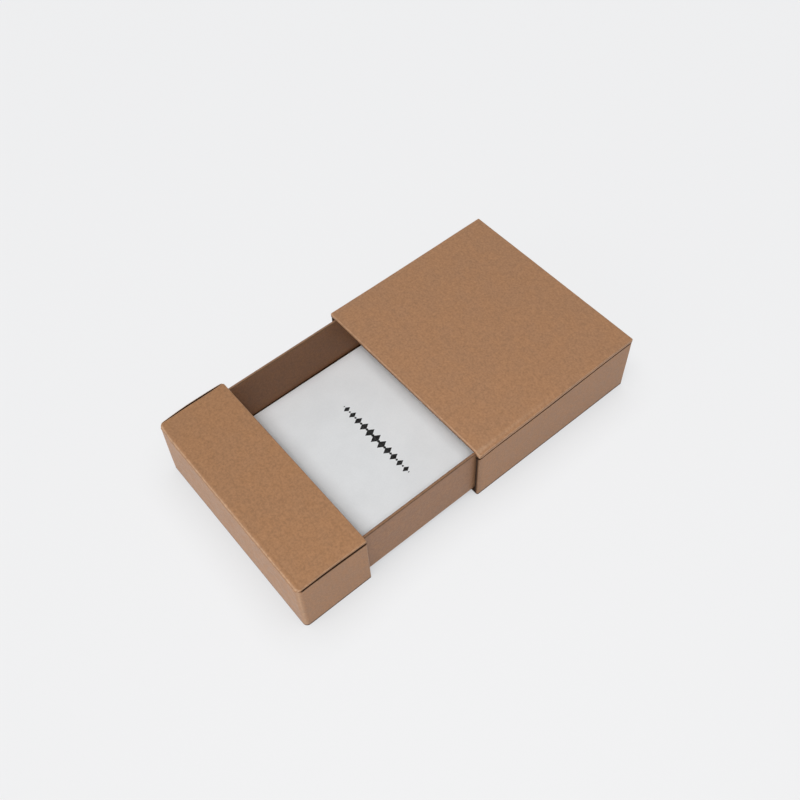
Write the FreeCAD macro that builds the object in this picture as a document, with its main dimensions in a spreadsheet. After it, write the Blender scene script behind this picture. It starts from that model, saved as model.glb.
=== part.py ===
import FreeCAD, Part
import os

# A two-part rigid gift box.  A drawer slides in and out of an open-mouthed sleeve, and the drawer's
# head is a closed block with the sleeve's own outer section, so that the shut box is one flush block.
# Every wall is a greyboard panel, and kraft paper covers it outside and inside.
#
# Frame, in millimetres: the origin is at the centre of the sleeve's underside, +X is across the box,
# +Z is up, and the drawer is pulled out towards -Y.  The drawer is shown partly pulled out.

doc = FreeCAD.newDocument("gift_box")

# ---------------------------------------------------------------------------------------- sizes
SIZES = {
    # outside of the shut box
    "box_width": 100.0,            # across the top panels
    "box_height": 33.2,
    "sleeve_length": 91.0,
    "head_depth": 33.6,
    # stock
    "shell_board": 1.8,            # the sleeve's panels and the head's front
    "head_top_board": 1.3,
    "tray_board": 1.0,
    "cover_paper": 0.2,            # outside of the sleeve and the head
    "lining_paper": 0.2,           # inside of the sleeve
    "tray_paper": 0.15,            # outside and inside of the tray
    "card_stock": 0.5,
    # fits
    "side_inset": 0.1,             # how far the top panels overhang the side walls
    "slide_clearance": 0.3,        # between tray and sleeve, on every side
    "end_clearance": 2.0,          # behind the tray when the drawer is shut
    "card_clearance": 0.2,         # round the card, in the tray
    "shown_opening": 58.4,         # from the sleeve's mouth to the head, as shown
    # seams, folds and sheets
    "sleeve_slit": 0.35,           # between the side walls and the top panel
    "head_slit": 0.6,
    "fold_radius": 1.3,            # outside of the paper, where it folds round the closed end
    "edge_radius": 0.6,            # outside of the paper, along every other edge
    "tray_radius": 1.1,            # outside of the paper, under the tray and up its back corners
    "base_margin": 4.0,            # from an edge of the underside to the base sheet
}

sheet = doc.addObject("Spreadsheet::Sheet", "Sizes")
for row, (alias, value) in enumerate(SIZES.items(), start=1):
    sheet.set(f"A{row}", alias)
    sheet.set(f"B{row}", str(value))
    sheet.setAlias(f"B{row}", alias)
doc.recompute()

# ------------------------------------------------------- places, as expressions on those sizes
HALF_WIDTH = "Sizes.box_width / 2"
MOUTH = "-Sizes.sleeve_length / 2"
SLEEVE_BACK = "Sizes.sleeve_length / 2"
UNDER_TOP_PAPER = "(Sizes.box_height - Sizes.cover_paper)"
SLEEVE_SEAM = f"({UNDER_TOP_PAPER} - Sizes.shell_board)"                # under the top panel
HEAD_SEAM = f"({UNDER_TOP_PAPER} - Sizes.head_top_board)"
WALL_FACE = f"({HALF_WIDTH} - Sizes.side_inset)"
WALL_BOARD_FACE = f"({WALL_FACE} - Sizes.cover_paper)"

# The head has no lining and no play round the tray, so its board is that much thicker.
HEAD_BOARD = "(Sizes.shell_board + Sizes.lining_paper + Sizes.slide_clearance)"
HEAD_REAR = f"({MOUTH} - Sizes.shown_opening)"
HEAD_FRONT = f"({HEAD_REAR} - Sizes.head_depth)"

# The tray fills the sleeve's lined inside, less the play, and runs on into the head.
TRAY_HALF = f"({WALL_BOARD_FACE} - {HEAD_BOARD})"
TRAY_UNDER = f"(Sizes.cover_paper + {HEAD_BOARD})"
TRAY_RIM = f"({SLEEVE_SEAM} - Sizes.lining_paper - Sizes.slide_clearance)"
TRAY_LENGTH = ("(Sizes.sleeve_length - Sizes.cover_paper - Sizes.shell_board"
               " - Sizes.lining_paper - Sizes.end_clearance)")          # from the head's rear face
TRAY_BACK = f"({HEAD_REAR} + {TRAY_LENGTH})"
TRAY_FRONT = f"({HEAD_FRONT} + Sizes.cover_paper + Sizes.shell_board)"
TRAY_BOARD_HALF = f"({TRAY_HALF} - Sizes.tray_paper)"
TRAY_BOARD_UNDER = f"({TRAY_UNDER} + Sizes.tray_paper)"
TRAY_BOARD_RIM = f"({TRAY_RIM} - Sizes.tray_paper)"
TRAY_BOARD_BACK = f"({TRAY_BACK} - Sizes.tray_paper)"
BAY_HALF = f"({TRAY_BOARD_HALF} - Sizes.tray_board)"                    # bare bay, before lining
BAY_FLOOR = f"({TRAY_BOARD_UNDER} + Sizes.tray_board)"
BAY_BACK = f"({TRAY_BOARD_BACK} - Sizes.tray_board)"
BAY_FRONT = f"({HEAD_REAR} - Sizes.tray_paper)"

PAST = "Sizes.box_height"          # how far a cutting block runs past what it opens
TINY = 1e-4                        # nearer than this, two places are the same


# -------------------------------------------------------------------------------------- helpers
def across(half):
    """The span from -half to +half."""
    return f"-({half})", half


def slab(label, x, y, z):
    """A rectangular block; x, y and z are each the pair (low, high)."""
    block = doc.addObject("Part::Box", label)
    for side, (low, high) in zip(("Length", "Width", "Height"), (x, y, z)):
        block.setExpression(side, f"({high}) - ({low})")
    for axis, (low, high) in zip("xyz", (x, y, z)):
        block.setExpression(f"Placement.Base.{axis}", low)
    return block


def rounded_block(label, x, y, z, closed_end, is_panel, radii):
    """A block that is folded at its closed end and rounded along its other outer edges.

    closed_end is "low" or "high", the end along Y that is closed.  A panel folds down over that
    end and is flat underneath.  A body folds round that end's upright corners and is flat on top.
    radii is the pair (fold, edge).
    """
    body = doc.addObject("PartDesign::Body", label)
    block = body.newObject("PartDesign::AdditiveBox", label + "_block")
    for side, (low, high) in zip(("Length", "Width", "Height"), (x, y, z)):
        block.setExpression(side, f"({high}) - ({low})")
    for axis, (low, high) in zip("xyz", (x, y, z)):
        body.setExpression(f"Placement.Base.{axis}", low)
    doc.recompute()
    bounds = block.Shape.BoundBox
    closed_y = bounds.YMin if closed_end == "low" else bounds.YMax
    open_y = bounds.YMax if closed_end == "low" else bounds.YMin
    flat_z = bounds.ZMin if is_panel else bounds.ZMax

    def lies_at(low, high, place):
        return abs(low - place) < TINY and abs(high - place) < TINY

    def is_fold(box):
        at_end = lies_at(box.YMin, box.YMax, closed_y)
        on_top = lies_at(box.ZMin, box.ZMax, bounds.ZMax)
        return at_end and (on_top if is_panel else box.ZLength > TINY)

    def is_edge(box):
        at_side = lies_at(box.XMin, box.XMax, bounds.XMin) or lies_at(box.XMin, box.XMax, bounds.XMax)
        at_mouth = lies_at(box.YMin, box.YMax, open_y)
        round_under = not is_panel and lies_at(box.ZMin, box.ZMax, bounds.ZMin)
        on_flat = lies_at(box.ZMin, box.ZMax, flat_z)
        return (round_under or at_mouth or (is_panel and at_side)) and not on_flat

    rounded = block
    for suffix, belongs, radius in (("_folds", is_fold, radii[0]), ("_edges", is_edge, radii[1])):
        edges = [f"Edge{n}" for n, edge in enumerate(rounded.Shape.Edges, start=1)
                 if belongs(edge.BoundBox)]
        fillet = body.newObject("PartDesign::Fillet", label + suffix)
        fillet.Base = (rounded, edges)
        fillet.setExpression("Radius", radius)
        body.Tip = fillet
        doc.recompute()
        rounded = fillet
    return body


def common(label, first, second):
    """What two solids share."""
    result = doc.addObject("Part::Common", label)
    result.Base = first
    result.Tool = second
    return result


def cut(label, solid, *tools):
    """A solid less one or more others."""
    tool = tools[0]
    if len(tools) > 1:
        tool = doc.addObject("Part::MultiFuse", label + "_tools")
        tool.Shapes = list(tools)
    result = doc.addObject("Part::Cut", label)
    result.Base = solid
    result.Tool = tool
    return result


def shell(name, end_name, y, closed_end, wall_board, top_board, slit):
    """One outer shell: bottom, two sides, an end and a top panel, their papers and a base sheet.

    y is the pair (low, high) outside.  wall_board is the thickness of the bottom and the sides,
    top_board that of the top panel, and slit the gap left open between the sides and the top.
    """
    low, high = y
    board_low = f"({low} + Sizes.cover_paper)"
    board_high = f"({high} - Sizes.cover_paper)"
    if closed_end == "low":
        end_span = (board_low, f"({board_low} + Sizes.shell_board)")
        side_span = (end_span[1], board_high)
        open_span = (end_span[1], f"{high} + {PAST}")
    else:
        end_span = (f"({board_high} - Sizes.shell_board)", board_high)
        side_span = (board_low, end_span[0])
        open_span = (f"{low} - {PAST}", end_span[0])

    # The paper's outside radii stay within the top panel, and the board's are less by the paper.
    most = f"0.9 * ({top_board} + Sizes.cover_paper)"
    paper_radii = (f"min(Sizes.fold_radius; {most})", f"min(Sizes.edge_radius; 0.5 * {most})")
    board_radii = [f"max({radius} - Sizes.cover_paper; 0.1 * {top_board})"
                   for radius in paper_radii]
    seam = f"({UNDER_TOP_PAPER} - {top_board})"
    inner_half = f"({WALL_BOARD_FACE} - {wall_board})"
    floor = f"(Sizes.cover_paper + {wall_board})"
    wall_top = f"({seam} - {slit})"
    side_height = (floor, f"({wall_top} - Sizes.cover_paper)")

    core = rounded_block(name + "_body_core", across(WALL_BOARD_FACE), (board_low, board_high),
                         ("Sizes.cover_paper", seam), closed_end, False, board_radii)
    outside = rounded_block(name + "_body_outside", across(WALL_FACE), y, ("0", seam),
                            closed_end, False, paper_radii)
    top_outside = rounded_block(name + "_top_outside", across(HALF_WIDTH), y,
                                (seam, "Sizes.box_height"), closed_end, True, paper_radii)
    top_panel = rounded_block(name + "_top_board", across(f"({HALF_WIDTH} - Sizes.cover_paper)"),
                              (board_low, board_high), (seam, UNDER_TOP_PAPER),
                              closed_end, True, board_radii)
    inside = slab(name + "_inside", across(inner_half), open_span, (floor, f"{seam} + {PAST}"))
    slits = slab(name + "_slits", across(HALF_WIDTH), open_span, (wall_top, f"{seam} + {PAST}"))
    base_sheet = slab(name + "_base_paper", across(f"({WALL_FACE} - Sizes.base_margin)"),
                      (f"{low} + Sizes.base_margin", f"{high} - Sizes.base_margin"),
                      ("0", "Sizes.cover_paper"))

    def board(place, x, y_span, z):
        zone = slab(f"{name}_{place}_zone", x, y_span, z)
        return common(f"{name}_{place}_board", core, zone)

    boards = [
        board("bottom", across(HALF_WIDTH), y, ("0", floor)),
        board(end_name, across(HALF_WIDTH), end_span, (floor, seam)),
        board("left", (f"-{WALL_BOARD_FACE}", f"-{inner_half}"), side_span, side_height),
        board("right", (inner_half, WALL_BOARD_FACE), side_span, side_height),
    ]
    return [
        *boards,
        top_panel,
        base_sheet,
        cut(name + "_body_paper", outside, *boards, inside, slits, base_sheet),
        cut(name + "_top_paper", top_outside, top_panel),
    ]


# --------------------------------------------------------------------------------------- sleeve
def sleeve_lining():
    """The paper inside the sleeve: a tube with a closed back."""
    half = f"({WALL_BOARD_FACE} - Sizes.shell_board)"
    floor = "(Sizes.cover_paper + Sizes.shell_board)"
    back = f"({SLEEVE_BACK} - Sizes.cover_paper - Sizes.shell_board)"
    outside = slab("sleeve_lining_outside", across(half), (MOUTH, back), (floor, SLEEVE_SEAM))
    inside = slab("sleeve_lining_inside", across(f"({half} - Sizes.lining_paper)"),
                  (f"{MOUTH} - {PAST}", f"{back} - Sizes.lining_paper"),
                  (f"{floor} + Sizes.lining_paper", f"{SLEEVE_SEAM} - Sizes.lining_paper"))
    return cut("sleeve_lining", outside, inside)


# ----------------------------------------------------------------------------------------- head
def head_rear_board():
    """The upright board that closes the head and is the front wall of the tray's bay."""
    return slab("head_rear_board", across(BAY_HALF),
                (f"{BAY_FRONT} - Sizes.tray_board", BAY_FRONT), (BAY_FLOOR, HEAD_SEAM))


# ----------------------------------------------------------------------------------------- tray
def tray_block(name, half, under, back, rim, radius):
    """A tray-shaped block that runs past the tray's front end."""
    return rounded_block(name, across(half), (f"{TRAY_FRONT} - {PAST}", back), (under, rim),
                         "high", False, (radius, radius))


def tray():
    """The tray's floor, its two sides, which run on into the head, its back and outer paper.

    The paper covers the tray outside and underneath, and turns over its rims.
    """
    paper_radius = "min(Sizes.tray_radius; 0.9 * (Sizes.tray_board + Sizes.tray_paper))"
    board_radius = f"max({paper_radius} - Sizes.tray_paper; 0.1 * Sizes.tray_board)"
    core = tray_block("tray_core", TRAY_BOARD_HALF, TRAY_BOARD_UNDER, TRAY_BOARD_BACK,
                      TRAY_BOARD_RIM, board_radius)
    covered = tray_block("tray_covered", TRAY_HALF, TRAY_UNDER, TRAY_BACK, TRAY_RIM, paper_radius)
    wall_height = (BAY_FLOOR, TRAY_RIM)
    side_span = (TRAY_FRONT, BAY_BACK)

    def board(place, x, y, z):
        return common(f"tray_{place}_board", core, slab(f"tray_{place}_zone", x, y, z))

    boards = [
        board("floor", across(TRAY_HALF), (TRAY_FRONT, TRAY_BACK), (TRAY_UNDER, BAY_FLOOR)),
        board("left", (f"-{TRAY_HALF}", f"-{BAY_HALF}"), side_span, wall_height),
        board("right", (BAY_HALF, TRAY_HALF), side_span, wall_height),
        board("back", across(TRAY_HALF), (BAY_BACK, TRAY_BACK), wall_height),
    ]
    before = slab("tray_before", across(HALF_WIDTH), (f"{TRAY_FRONT} - 2 * {PAST}", TRAY_FRONT),
                  ("0", "Sizes.box_height"))
    bay = slab("tray_bay_space", across(BAY_HALF), (TRAY_FRONT, BAY_BACK),
               (BAY_FLOOR, f"{TRAY_RIM} + {PAST}"))
    return [*boards, cut("tray_outer_paper", covered, *boards, before, bay)]


def tray_lining():
    """The paper inside the tray's bay, on its floor and its four walls."""
    outside = slab("tray_lining_outside", across(BAY_HALF), (BAY_FRONT, BAY_BACK),
                   (BAY_FLOOR, TRAY_RIM))
    inside = slab("tray_lining_inside", across(f"({BAY_HALF} - Sizes.tray_paper)"),
                  (HEAD_REAR, f"{BAY_BACK} - Sizes.tray_paper"),
                  (f"{BAY_FLOOR} + Sizes.tray_paper", f"{TRAY_RIM} + {PAST}"))
    return cut("tray_lining", outside, inside)


def insert_card():
    """The loose white card that lies on the bay's floor."""
    return slab("insert_card", across(f"({BAY_HALF} - Sizes.tray_paper - Sizes.card_clearance)"),
                (f"{HEAD_REAR} + Sizes.card_clearance",
                 f"{BAY_BACK} - Sizes.tray_paper - Sizes.card_clearance"),
                (f"{BAY_FLOOR} + Sizes.tray_paper",
                 f"{BAY_FLOOR} + Sizes.tray_paper + Sizes.card_stock"))


# ------------------------------------------------------------------------------------- assembly
sub_parts = [
    *shell("sleeve", "back", (MOUTH, SLEEVE_BACK), "high",
           "Sizes.shell_board", "Sizes.shell_board", "Sizes.sleeve_slit"),
    sleeve_lining(),
    *shell("head", "front", (HEAD_FRONT, HEAD_REAR), "low",
           HEAD_BOARD, "Sizes.head_top_board", "Sizes.head_slit"),
    head_rear_board(),
    *tray(),
    tray_lining(),
    insert_card(),
]
doc.recompute()

for item in doc.Objects:
    if "Invalid" in item.State or "Error" in item.State:
        raise RuntimeError(f"{item.Label} did not compute: {item.State}")
for part in sub_parts:
    if part.Shape.isNull() or not part.Shape.isValid() or not part.Shape.Solids:
        raise RuntimeError(f"{part.Label} has no valid solid")

os.makedirs("parts", exist_ok=True)
for part in sub_parts:
    part.Shape.exportStep(os.path.join("parts", part.Label + ".step"))
    box = part.Shape.optimalBoundingBox()
    print(f"{part.Label:20s} solids {len(part.Shape.Solids)}  volume {part.Shape.Volume:9.2f}"
          f"  x {box.XMin:8.2f} {box.XMax:8.2f}  y {box.YMin:8.2f} {box.YMax:8.2f}"
          f"  z {box.ZMin:6.2f} {box.ZMax:6.2f}")
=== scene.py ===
"""The looks of a sliding drawer gift box: papers, boards, card, light and camera."""
import math
from dataclasses import dataclass

import bmesh
import bpy
from mathutils import Matrix, Vector
from mathutils.noise import noise


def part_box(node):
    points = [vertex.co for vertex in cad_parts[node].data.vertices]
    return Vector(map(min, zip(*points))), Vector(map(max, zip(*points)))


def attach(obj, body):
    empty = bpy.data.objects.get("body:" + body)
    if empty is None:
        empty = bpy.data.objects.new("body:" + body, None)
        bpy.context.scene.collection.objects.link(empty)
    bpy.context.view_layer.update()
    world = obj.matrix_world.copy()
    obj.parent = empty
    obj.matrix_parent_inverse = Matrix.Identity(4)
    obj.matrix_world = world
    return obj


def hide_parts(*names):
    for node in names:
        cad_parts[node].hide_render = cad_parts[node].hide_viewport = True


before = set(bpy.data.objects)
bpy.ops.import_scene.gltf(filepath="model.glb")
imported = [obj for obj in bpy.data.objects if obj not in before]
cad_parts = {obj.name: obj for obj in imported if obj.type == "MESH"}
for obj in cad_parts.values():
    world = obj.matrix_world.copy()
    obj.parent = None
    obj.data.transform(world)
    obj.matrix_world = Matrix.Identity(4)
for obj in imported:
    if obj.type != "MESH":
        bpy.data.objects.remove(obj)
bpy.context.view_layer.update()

MM = 0.001

# ---- places, from the frame, in metres
sleeve_body_low, sleeve_body_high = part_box("sleeve_body_paper")
sleeve_top_low, sleeve_top_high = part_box("sleeve_top_paper")
sleeve_base_low, sleeve_base_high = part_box("sleeve_base_paper")
sleeve_lining_low, sleeve_lining_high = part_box("sleeve_lining")
head_body_low, head_body_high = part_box("head_body_paper")
head_top_low, head_top_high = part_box("head_top_paper")
head_base_low, head_base_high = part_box("head_base_paper")
tray_low, tray_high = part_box("tray_outer_paper")
bay_low, bay_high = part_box("tray_lining")
card_low, card_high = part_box("insert_card")

HALF_WIDTH = head_top_high.x
COVER_PAPER = sleeve_base_high.z
LINING_PAPER = 0.2 * MM
TRAY_PAPER = 0.15 * MM
SLEEVE_WALL = sleeve_body_high.x - sleeve_lining_high.x + LINING_PAPER  # outside to lined inside
HEAD_WALL = head_body_high.x - tray_high.x
TRAY_WALL = tray_high.x - bay_high.x + TRAY_PAPER
SLEEVE_SEAM = sleeve_lining_high.z - LINING_PAPER  # the height of the lids' undersides
HEAD_SEAM = head_top_low.z
# The sheets are thinner than the papers' nodes, to keep clear of the boards.
WRAP_SHEET = 0.16 * MM
TRAY_SHEET = 0.14 * MM
LINING_SHEET = 0.15 * MM
BAY_SHEET = 0.13 * MM

# ---- mesh helpers
# A surface's grid lines lie this far from its edges, and this far apart further in.
NEAR_EDGE = [distance * MM for distance in
             (0, 0.12, 0.26, 0.42, 0.6, 0.8, 1.05, 1.3, 1.55, 1.8, 2.1, 2.4, 2.8, 3.3)]
GRID_STEP = 2.2 * MM
SAME_POINT = 1e-6
SAME_LEVEL = 0.05 * MM
ARC_STEPS = 6
SHARP_ANGLE = math.radians(50)  # a crease stronger than this isn't shaded smooth
UNEVEN = 0.06 * MM  # how far the papers lie in from their flat surfaces at most
LINING_UNEVEN = 0.4 * UNEVEN


def grid_lines(low, high, extra=()):
    """Places from low to high, close together near both ends and evenly spaced between."""
    near = [distance for distance in NEAR_EDGE if distance < 0.45 * (high - low)]
    first, last = low + near[-1], high - near[-1]
    count = max(1, round((last - first) / GRID_STEP))
    between = [first + (last - first) * k / count for k in range(1, count)]
    places = [low + distance for distance in near] + between + [high - distance for distance in near]
    return sorted(set(places) | set(extra))


def grid_shares(low, high):
    """The same places as shares of the way."""
    return [(place - low) / (high - low) for place in grid_lines(low, high)]


def smooth_step(low, high, value):
    """0 below low, 1 above high and a smooth change between."""
    share = min(max((value - low) / (high - low), 0), 1)
    return share * share * (3 - 2 * share)


def mix(first, second, share):
    """The value at a share of the way from the first to the second."""
    return first + (second - first) * share


def side_of(point):
    """1 on the right and -1 on the left."""
    return 1 if point.x > 0 else -1


def round_off(radius, steps=ARC_STEPS):
    """A quarter circle between two sides, as distances from them: (radius, 0) to (0, radius)."""
    angles = [math.pi / 2 * k / steps for k in range(steps + 1)]
    return [(radius * (1 - math.sin(angle)), radius * (1 - math.cos(angle))) for angle in angles]


def leaf(share, peak):
    """A leaf's outline: nothing at both ends and 1 at the place called peak."""
    share = min(max(share, 0), 1)
    return math.sin(math.pi * share ** (math.log(0.5) / math.log(peak))) ** 0.8


def add_grid(bm, rows, skip=None):
    """Faces between rows of points.  skip(row, column) leaves a face out."""
    made = [[bm.verts.new(point) for point in row] for row in rows]
    for i in range(len(rows) - 1):
        for j in range(len(rows[i]) - 1):
            if skip is None or not skip(i, j):
                bm.faces.new((made[i][j], made[i + 1][j], made[i + 1][j + 1], made[i][j + 1]))


def across(axis, place, rows):
    """Points at a place on an axis, made from rows of their two other coordinates."""
    return [[(*point[:axis], place, *point[axis:]) for point in row] for row in rows]


def block_side(bm, axis, place, first_lines, second_lines):
    """One side of a block, across the axis at place, as a grid on the two other axes' lines."""
    add_grid(bm, across(axis, place, [[(u, v) for v in second_lines] for u in first_lines]))


def unevenness(point):
    """How far paper lies below its ideal surface at a point, as a share of the most."""
    slow = noise(point * 60) + 0.5 * noise(point * 140 + Vector((3.1, 1.7, 5.3)))
    fine = 0.25 * noise(point * 420 + Vector((7.9, 2.3, 0.4)))
    return min(max(0.5 + 0.45 * (slow + fine), 0), 1)


def sink_unevenly(bm, depth):
    """Lets the surface in by up to depth, following the paper's unevenness."""
    bm.normal_update()
    moves = [vertex.normal * (-depth * unevenness(vertex.co)) for vertex in bm.verts]
    for vertex, move in zip(bm.verts, moves):
        vertex.co += move


def store_values(mesh, name, values):
    """Keeps a value for each point, which the materials read by that name."""
    attribute = mesh.attributes.new(name, "FLOAT", "POINT")
    attribute.data.foreach_set("value", values)


def rounded_edge_amount(mesh):
    """How much each point lies on a rounded edge, where a normal leans off every axis."""
    lean = [1 - max(abs(c) for c in vertex.normal) for vertex in mesh.vertices]
    edge_amount = [smooth_step(0.06, 0.26, value) for value in lean]
    for _ in range(2):
        spread = [[value] for value in edge_amount]
        for edge in mesh.edges:
            a, b = edge.vertices
            spread[a].append(edge_amount[b])
            spread[b].append(edge_amount[a])
        edge_amount = [0.5 * values[0] + 0.5 * sum(values) / len(values) for values in spread]
    return edge_amount


def join_up(bm, level, facing):
    """Joins a mesh's grids, with its faces turned so that those at that level face up (1) or down (-1)."""
    bmesh.ops.remove_doubles(bm, verts=bm.verts, dist=SAME_POINT)
    bmesh.ops.dissolve_degenerate(bm, edges=bm.edges, dist=SAME_POINT)
    bmesh.ops.recalc_face_normals(bm, faces=bm.faces)
    level_faces = [face for face in bm.faces if abs(face.calc_center_median().z - level) < SAME_LEVEL]
    if facing * sum(face.normal.z * face.calc_area() for face in level_faces) < 0:
        bmesh.ops.reverse_faces(bm, faces=bm.faces)


def add_object(name, data):
    """A new object in the scene."""
    made = bpy.data.objects.new(name, data)
    bpy.context.scene.collection.objects.link(made)
    return made


def finish_piece(name, bm, material, thickness=0, shade=None):
    """Makes the object of a mesh, as a sheet of that thickness below its surface.

    shade(point) is painted shade: how much darker than the open paper a point is, in creases, slits and
    gaps.
    """
    mesh = bpy.data.meshes.new(name)
    bm.to_mesh(mesh)
    bm.free()
    mesh.shade_smooth()
    mesh.set_sharp_from_angle(angle=SHARP_ANGLE)
    store_values(mesh, "edge_amount", rounded_edge_amount(mesh))
    if shade:
        store_values(mesh, "shade", [shade(vertex.co) for vertex in mesh.vertices])
    mesh.materials.append(material)
    piece = add_object(name, mesh)
    if thickness:
        sheet = piece.modifiers.new("thickness", "SOLIDIFY")
        sheet.thickness = thickness
        sheet.offset = -1
        sheet.use_even_offset = False
    return piece


# ---- panels: the lids, boards and card
INSET_REACH = 7 * MM  # how far from a side its inset is felt
SIDES = ("left", "right", "front", "back", "under", "top")


def edges(**radii):
    """Radii by the two sides that meet at an edge, such as left_top, given in millimetres."""
    return {tuple(name.split("_")): radius * MM for name, radius in radii.items()}


def all_edges(radius):
    """The same radius, in metres, for each edge of a block."""
    return {(one, other): radius for k, one in enumerate(SIDES) for m, other in enumerate(SIDES)
            if k // 2 < m // 2}


def side_planes(low, high):
    """(axis, place) of each side of a block."""
    return {side: (k // 2, (low, high)[k % 2][k // 2]) for k, side in enumerate(SIDES)}


def edge_radius(point, planes, radii):
    """The radius to use at a point of a block: the edges' own radii, the nearest counting most."""
    total = weight_sum = 0
    for sides, radius in radii.items():
        gaps = [point[axis] - place for axis, place in (planes[side] for side in sides)]
        weight = 1 / (math.hypot(*gaps) + 0.05 * MM) ** 3
        total += weight * radius
        weight_sum += weight
    return total / weight_sum


def rounded(point, low, high, radius):
    """Where a point on a sharp block's surface goes when the block's edges are rounded."""
    core = Vector([min(max(c, a + radius), b - radius) for c, a, b in zip(point, low, high)])
    outward = point - core
    return core + outward.normalized() * radius if outward.length > SAME_POINT else point


def plan_rounded(point, low, high, corners):
    """Where a point goes when a block's uprights are rounded in plan, by each corner's own radius."""
    middle = (low + high) / 2
    reach = (high - low) / 2
    side = ("left" if point.x < middle.x else "right", "front" if point.y < middle.y else "back")
    radius = corners.get(side, 0)
    beyond_x = abs(point.x - middle.x) - (reach.x - radius)
    beyond_y = abs(point.y - middle.y) - (reach.y - radius)
    if beyond_x <= 0 or beyond_y <= 0:
        return point
    pull = 1 - max(beyond_x, beyond_y) / math.hypot(beyond_x, beyond_y)
    move_x = math.copysign(beyond_x * pull, point.x - middle.x)
    move_y = math.copysign(beyond_y * pull, point.y - middle.y)
    return point - Vector((move_x, move_y, 0))


def unchanged(point):
    return point


def no_inset(side, share):
    return 0


def panel(name, low, high, material, radii, corners, thickness=0, inset=no_inset, has_underside=True,
          shape=unchanged, shade=None):
    """A block with rounded edges, whose sides may curve inwards.

    radii are those of its edges and corners those of its uprights in plan.  inset(side, share)
    is how far in the left (-1) or right (1) side lies, at a share of the way from front to back.
    shape(point) is where a point of the finished block goes.
    """
    xs, ys, zs = [grid_lines(a, b) for a, b in zip(low, high)]
    bm = bmesh.new()
    for axis, lines in ((0, (ys, zs)), (1, (xs, zs)), (2, (xs, ys))):
        for place in (low[axis], high[axis]):
            if axis != 2 or place == high[axis] or has_underside:
                block_side(bm, axis, place, *lines)
    join_up(bm, high.z, 1)
    planes = side_planes(low, high)
    for vertex in bm.verts:
        at = vertex.co.copy()
        radius = edge_radius(at, planes, radii) * (1 + 0.15 * noise(at * 130))
        placed = plan_rounded(rounded(at, low, high, radius), low, high, corners)
        side = side_of(placed)
        share = (placed.y - low.y) / (high.y - low.y)
        pull = smooth_step(high.x - INSET_REACH, high.x, abs(placed.x))
        placed.x -= side * inset(side, share) * pull
        vertex.co = shape(placed)
    sink_unevenly(bm, UNEVEN)
    return finish_piece(name, bm, material, thickness, shade)


# ---- channels: the papers of the bottoms and sides
BOTTOM_EDGE = 0.3 * MM  # of the paper along the bottom's edges
CAP_RADIUS = 0.2 * MM  # of the paper over a wall's top edge
LEAST_CAP = 0.25  # the share of that radius that is left at the closed end
CAP_SHRINKS = (6 * MM, 3 * MM)  # from the closed end, where the radius begins and ends to shrink
INSIDE_FOLD = 0.25 * MM  # of the paper in an inside corner
TURN_IN_STEPS = 5


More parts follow.
